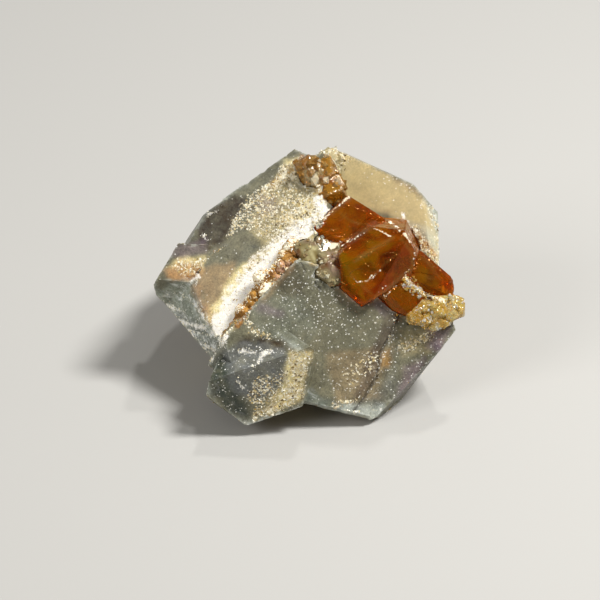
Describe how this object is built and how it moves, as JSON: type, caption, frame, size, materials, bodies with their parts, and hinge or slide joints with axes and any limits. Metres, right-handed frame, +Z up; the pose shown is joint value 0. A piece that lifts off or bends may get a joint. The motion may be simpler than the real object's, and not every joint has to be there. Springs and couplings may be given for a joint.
{
  "type": "fluorite octahedron specimen",
  "caption": "Mineral specimen: intergrown grey-green fluorite octahedra with clear amber crystals seated in the hollow between them, resting on a flat broken base.",
  "frame": {"origin": "on the flat base, under the middle of the whole group", "axes": "+Z up; -Y out of the show side, towards someone who looks at it; +X to the right as it is looked at"},
  "size_m": [0.0462, 0.0436, 0.0336],
  "materials": {
    "fluorite": "grey-green fluorite, translucent, satin crystal faces under a fine crust",
    "amber_crystal": "clear amber to red-brown crystal, glassy",
    "golden_crystal": "small golden brown crystals, glassy",
    "pale_crystal": "small beige crystals, glassy to waxy",
    "yellow_crust": "yellow sparkling crust",
    "iron_oxide": "rusty ochre fill, earthy"
  },
  "bodies": {
    "root": {"fluorite_octahedra": "fluorite", "amber_crystal_middle": "amber_crystal", "amber_crystal_upper": "amber_crystal", "amber_crystal_right": "amber_crystal", "amber_crystal_lower": "amber_crystal", "amber_cluster_top": "golden_crystal", "pale_crystal_cluster": "pale_crystal", "yellow_crust": "yellow_crust", "iron_oxide_seam": "iron_oxide"}
  },
  "joints": []
}
